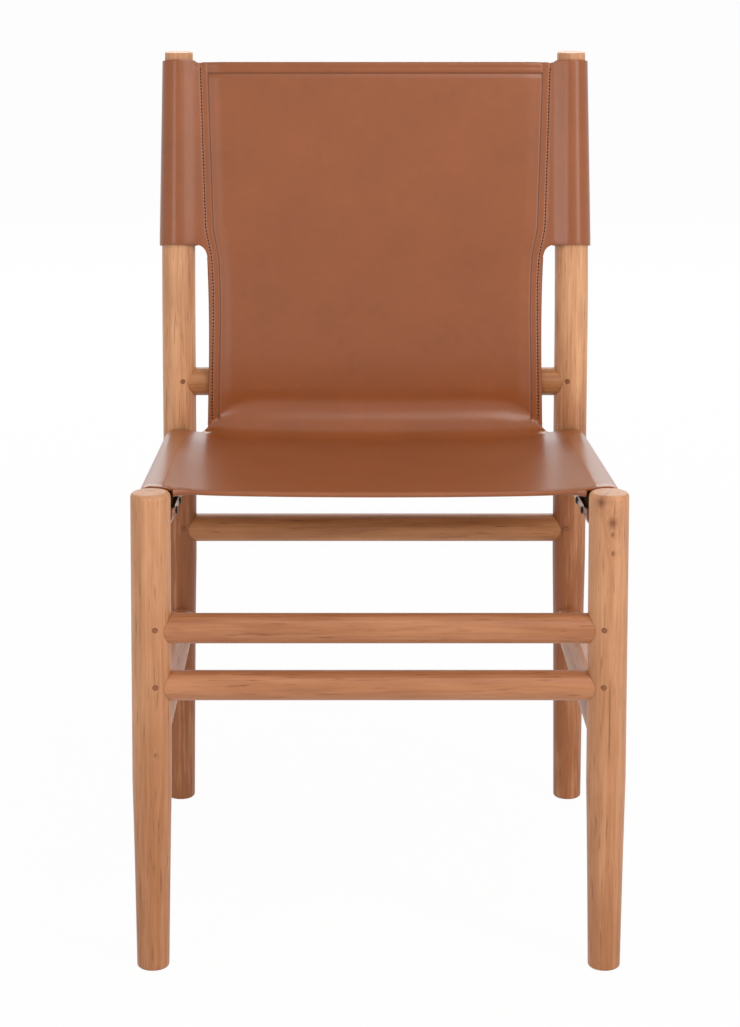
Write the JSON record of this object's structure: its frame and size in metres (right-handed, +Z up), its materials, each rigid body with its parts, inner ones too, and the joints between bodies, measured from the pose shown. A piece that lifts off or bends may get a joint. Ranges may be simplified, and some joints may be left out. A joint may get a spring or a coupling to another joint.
{
  "type": "leather sling chair",
  "caption": "Armless dining chair with a turned wooden frame of pinned round tenon joints and a single leather sling that sleeves over bent rear posts and wraps sloping seat rails",
  "frame": {"origin": "middle of the chair's outline on the floor, midway across and midway from the front legs to the leaning back's top", "axes": "+Z up, front faces -Y, +X to the right as seen from the front"},
  "size_m": [0.4476, 0.5396, 0.7912],
  "materials": {
    "leg_wood": "satin, lengthwise grain",
    "rail_wood": "satin, lengthwise grain",
    "pin_wood": "satin, dark end grain",
    "leather": "smooth, half gloss",
    "tack_metal": "blackened"
  },
  "bodies": {
    "root": {"front_leg_left": "leg_wood", "front_leg_right": "leg_wood", "rear_post_left": "leg_wood", "rear_post_right": "leg_wood", "front_stretcher_upper": "rail_wood", "front_stretcher_lower": "rail_wood", "rear_stretcher": "rail_wood", "back_rail": "rail_wood", "side_stretcher_left": "rail_wood", "side_stretcher_right": "rail_wood", "seat_rail_left": "rail_wood", "seat_rail_right": "rail_wood", "leather_sling": "leather", "pin_front_stretcher_upper_left": "pin_wood", "pin_front_stretcher_upper_right": "pin_wood", "pin_front_stretcher_lower_left": "pin_wood", "pin_front_stretcher_lower_right": "pin_wood", "pin_rear_stretcher_left": "pin_wood", "pin_rear_stretcher_right": "pin_wood", "pin_back_rail_left": "pin_wood", "pin_back_rail_right": "pin_wood", "pin_side_stretcher_left_front": "pin_wood", "pin_side_stretcher_left_rear": "pin_wood", "pin_side_stretcher_right_front": "pin_wood", "pin_side_stretcher_right_rear": "pin_wood", "pin_seat_rail_left_front": "pin_wood", "pin_seat_rail_left_rear": "pin_wood", "pin_seat_rail_right_front": "pin_wood", "pin_seat_rail_right_rear": "pin_wood", "tack_left_1": "tack_metal", "tack_left_2": "tack_metal", "tack_left_3": "tack_metal", "tack_left_4": "tack_metal", "tack_left_5": "tack_metal", "tack_left_6": "tack_metal", "tack_left_7": "tack_metal", "tack_right_1": "tack_metal", "tack_right_2": "tack_metal", "tack_right_3": "tack_metal", "tack_right_4": "tack_metal", "tack_right_5": "tack_metal", "tack_right_6": "tack_metal", "tack_right_7": "tack_metal"}
  },
  "joints": []
}
